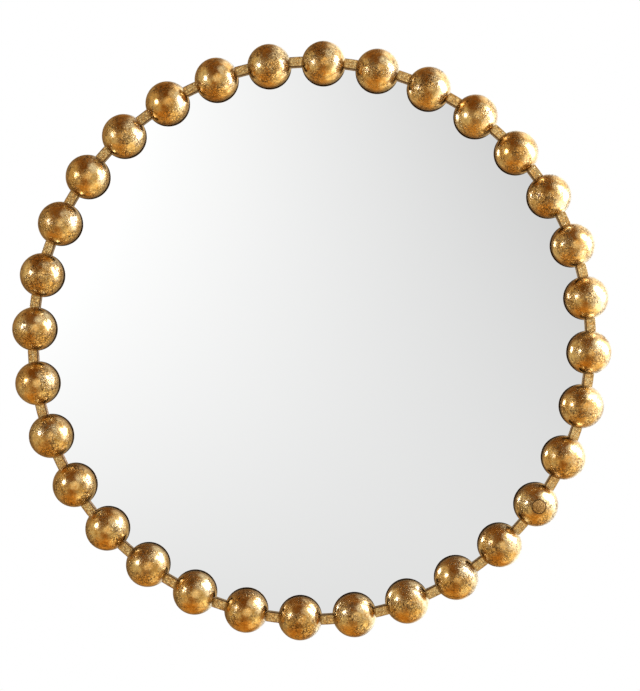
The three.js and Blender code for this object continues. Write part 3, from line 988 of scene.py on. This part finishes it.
def make_world():
    """White to the camera, grey to matt surfaces, a room to gloss, and a pale wall to the flat glass."""
    world = bpy.data.worlds.new("studio")
    bpy.context.scene.world = world
    world.use_nodes = True
    nodes = Nodes(world.node_tree)
    background = next(n for n in world.node_tree.nodes if n.type == "BACKGROUND")
    direction = nodes.add("ShaderNodeTexCoord").outputs["Generated"]
    side, depth, height = nodes.add("ShaderNodeSeparateXYZ", direction).outputs[:3]
    room = (0.54, 0.395, 0.19, 1)
    for axis, inner, outer, colour in room_patches:
        room = nodes.mix(lobe(nodes, direction, axis, inner, outer), room, colour)
    clutter = nodes.between(nodes.noise(direction, 6.0, 3, 0.6), 0.36, 0.66, 0.7, 1.5)
    room = nodes.mix(1.0, room, nodes.xyz(clutter, clutter, clutter), "MULTIPLY")
    wall = pale_wall(nodes, side, height)
    facing = nodes.math("MULTIPLY", depth, -1.0)
    around = nodes.between(height, -0.7, 0.7, 0.7, 0.9)
    pale = nodes.mix(nodes.between(facing, 0.86, 0.97), nodes.xyz(around, around, around),
                     nodes.xyz(wall, wall, wall))
    studio = nodes.mix(mirrored(nodes), room, pale)
    seen = nodes.add("ShaderNodeLightPath").outputs
    shiny = nodes.math("MAXIMUM", seen["Is Glossy Ray"], seen["Is Transmission Ray"])
    lit = nodes.mix(shiny, (0.42, 0.41, 0.4, 1), studio)
    nodes.feed(background.inputs["Color"], nodes.mix(seen["Is Camera Ray"], lit, (1, 1, 1, 1)))


def softbox(name, place, facing, upward, width, height, radiance, soft, colour=(1, 1, 1)):
    """A lamp of this width and height in metres and this radiance, dimmer over a soft share of its edges."""
    light = bpy.data.lights.new(name, "AREA")
    light.shape = "RECTANGLE"
    light.size = width
    light.size_y = height
    light.energy = radiance * math.pi * width * height
    light.color = colour
    light.use_nodes = True
    nodes = Nodes(light.node_tree)
    spot = nodes.add("ShaderNodeNewGeometry").outputs["Parametric"]
    across, along = nodes.add("ShaderNodeSeparateXYZ", spot).outputs[:2]
    level = 1.0
    for where in (across, along):
        inwards = nodes.math("SUBTRACT", 0.5, nodes.math("ABSOLUTE", nodes.math("SUBTRACT", where, 0.5)))
        level = nodes.math("MULTIPLY", level, nodes.between(inwards, 0.0, soft))
    glow = next(n for n in light.node_tree.nodes if n.type == "EMISSION")
    nodes.feed(glow.inputs["Strength"], level)
    lamp = bpy.data.objects.new(name, light)
    bpy.context.scene.collection.objects.link(lamp)
    back = -Vector(facing).normalized()
    across = Vector(upward).cross(back).normalized()
    turned_to = Matrix((across, back.cross(across), back)).transposed().to_4x4()
    lamp.matrix_world = Matrix.Translation(place) @ turned_to
    lamp.visible_camera = False
    return lamp


def make_floor():
    """A pale round floor below the hanging mirror that fades into the white ground."""
    floor_drop = 0.5
    floor_radius = 1.7
    mesh = turned("floor", [(0, 0), (floor_radius, 0)], 96)
    mesh.transform(Matrix.Rotation(math.pi / 2, 4, "X"))
    mesh.transform(Matrix.Translation((0, 0, cad_bounds[0].z - floor_drop)))
    floor = bpy.data.objects.new("floor", mesh)
    bpy.context.scene.collection.objects.link(floor)
    material, nodes, shader, place = new_material("pale_floor", roughness=0.8)
    speckle = nodes.noise(place, 60, 4)
    nodes.feed(shader.inputs["Base Color"], nodes.mix(speckle, (0.88, 0.86, 0.83, 1), (0.92, 0.9, 0.87, 1)))
    flat = nodes.vector("MULTIPLY", place, (1.0, 1.0, 0.0))
    fade = nodes.between(nodes.vector("LENGTH", flat, out=1), 0.45 * floor_radius, 0.98 * floor_radius)
    clear = nodes.add("ShaderNodeBsdfTransparent").outputs[0]
    output = next(n for n in material.node_tree.nodes if n.type == "OUTPUT_MATERIAL")
    nodes.feed(output.inputs[0], nodes.add("ShaderNodeMixShader", fade, shader.outputs[0], clear).outputs[0])
    mesh.materials.append(material)
    floor.visible_glossy = False


make_world()
softbox("window", (1.33, -0.26, 0.52), (-0.93, 0.18, -0.33), (-0.45, -0.6, 0.82), 0.72, 1.75, 9.0, 0.3,
        (0.95, 0.98, 1.18))
softbox("panel", (0.97, -0.04, 0.05), (-0.9, 0.43, 0), (0, 0, 1), 1.6, 1.6, 1.15, 0.4, (0.96, 1.0, 1.12))
softbox("left_lamp", (-2.2, -1.4, 0.35), (2.2, 1.4, -0.35), (0, 0, 1), 0.75, 0.95, 12.0, 0.4,
        (1.0, 1.0, 1.1))
back_fill = softbox("back_fill", (-0.9, 2.2, 1.5), (0.9, -2.2, -1.5), (0, 0, 1), 1.6, 1.6, 3.0, 0.01)
back_fill.visible_glossy = False
make_floor()

bpy.context.scene.view_settings.view_transform = "Standard"
